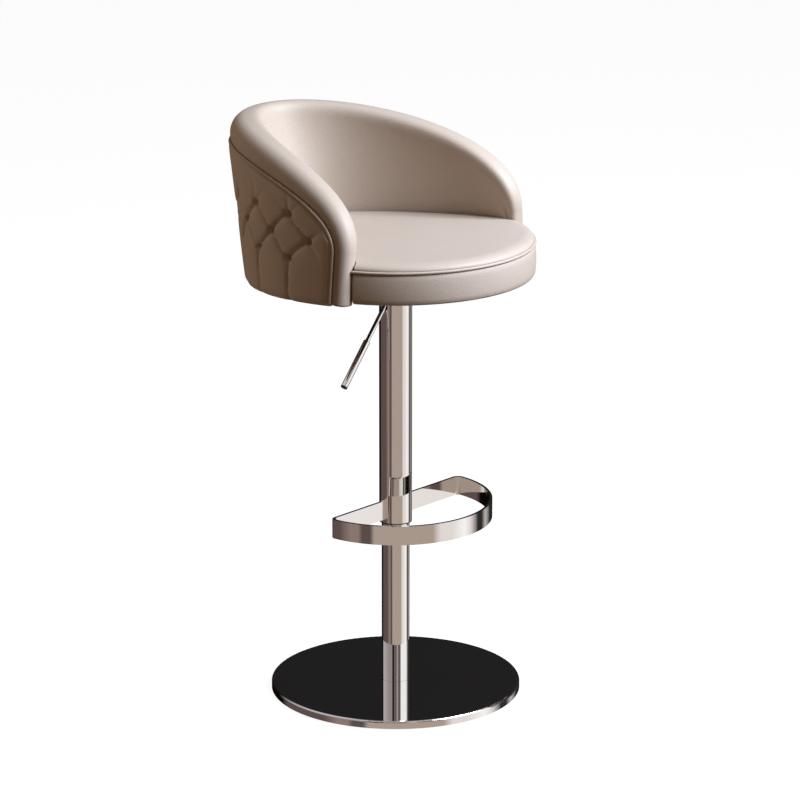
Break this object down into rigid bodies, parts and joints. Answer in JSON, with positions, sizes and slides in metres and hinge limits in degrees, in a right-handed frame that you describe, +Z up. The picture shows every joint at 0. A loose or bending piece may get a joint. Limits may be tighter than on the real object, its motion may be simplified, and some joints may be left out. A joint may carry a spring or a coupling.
{
  "type": "swivel bar stool",
  "caption": "Gas-lift bar stool on a round polished base, with a half-round footrest, a lift lever and a padded round seat inside a button-tufted tub back.",
  "frame": {"origin": "on the floor, under the middle of the base disc and on the column axis", "axes": "+Z up along the column, -Y the way the sitter faces, -X the sitter's right, where the lever is"},
  "size_m": [0.4708, 0.5525, 0.967],
  "materials": {
    "chrome": "polished",
    "steel": "bare",
    "rubber": "matte",
    "nylon": "matte",
    "leather": "fine grain, satin",
    "plywood": "raw",
    "cloth": "non-woven",
    "black_paint": "powder coat"
  },
  "bodies": {
    "base": {"floor_pad": "rubber", "base_weight": "steel", "base_cover": "chrome", "column_flange": "steel", "flange_bolts": "steel", "lower_tube": "chrome", "rod_plate": "steel", "thrust_bearing": "steel", "top_guide": "nylon"},
    "spindle": {"piston_rod": "chrome", "rod_clip": "steel", "piston": "nylon"},
    "seat": {"gas_cylinder": "black_paint", "rod_guide": "nylon", "taper_socket": "steel", "upper_tube": "chrome", "slide_bush": "nylon", "footrest_band": "chrome", "seat_plate": "black_paint", "plate_bolts": "steel", "tee_nuts": "steel", "lever_bracket": "steel", "lever_pin": "steel", "dust_cover": "cloth", "seat_board": "plywood", "seat_cushion": "leather", "seat_piping": "leather", "back_frame": "plywood", "back_pad": "leather", "tufted_panel": "leather", "rim_roll": "leather", "rim_piping": "leather", "tuft_buttons": "leather", "back_straps": "black_paint", "strap_screws": "steel"},
    "lever": {"lever_rod": "chrome", "lever_grip": "chrome", "grip_cap": "nylon"},
    "valve": {"valve_button": "steel"}
  },
  "joints": [
    {"name": "swivel", "type": "hinge", "parent": "base", "child": "spindle", "pos_m": [0, 0, 0.18], "axis": [0, 0, 1], "continuous": true},
    {"name": "lift", "type": "slide", "parent": "spindle", "child": "seat", "axis": [0, 0, 1], "range_m": [-0.2, 0]},
    {"name": "lever_tip", "type": "hinge", "parent": "seat", "child": "lever", "pos_m": [-0.016, 0, 0.684], "axis": [0, 1, 0], "range_deg": [0, 12]},
    {"name": "valve_press", "type": "slide", "parent": "seat", "child": "valve", "axis": [0, 0, -1], "range_m": [0, 0.0038]}
  ],
  "couplings": [
    {"joint": "valve_press", "follows": "lever_tip", "m_per_rad": 0.0178}
  ]
}
